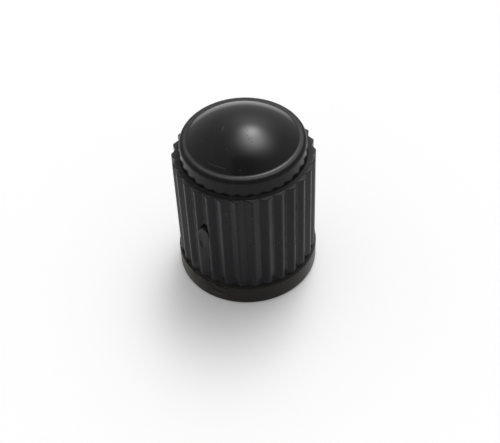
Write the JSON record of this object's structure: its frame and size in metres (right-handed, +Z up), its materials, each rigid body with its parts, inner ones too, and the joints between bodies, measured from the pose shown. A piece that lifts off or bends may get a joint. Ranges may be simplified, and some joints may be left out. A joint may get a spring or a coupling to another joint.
{
  "type": "tyre valve cap",
  "caption": "Round black plastic dust cap with a ribbed grip, a smooth foot ring and a domed end, which screws onto a tyre valve stem.",
  "frame": {"origin": "centre of the open mouth, on the plane that the cap stands on", "axes": "+Z up the cap's axis from the mouth to the dome, -Y towards the picture's camera"},
  "size_m": [0.01, 0.01, 0.0127],
  "materials": {
    "black_plastic": "moulded, satin ribs and a glossier dome"
  },
  "bodies": {
    "root": {"valve_cap": "black_plastic"}
  },
  "joints": []
}
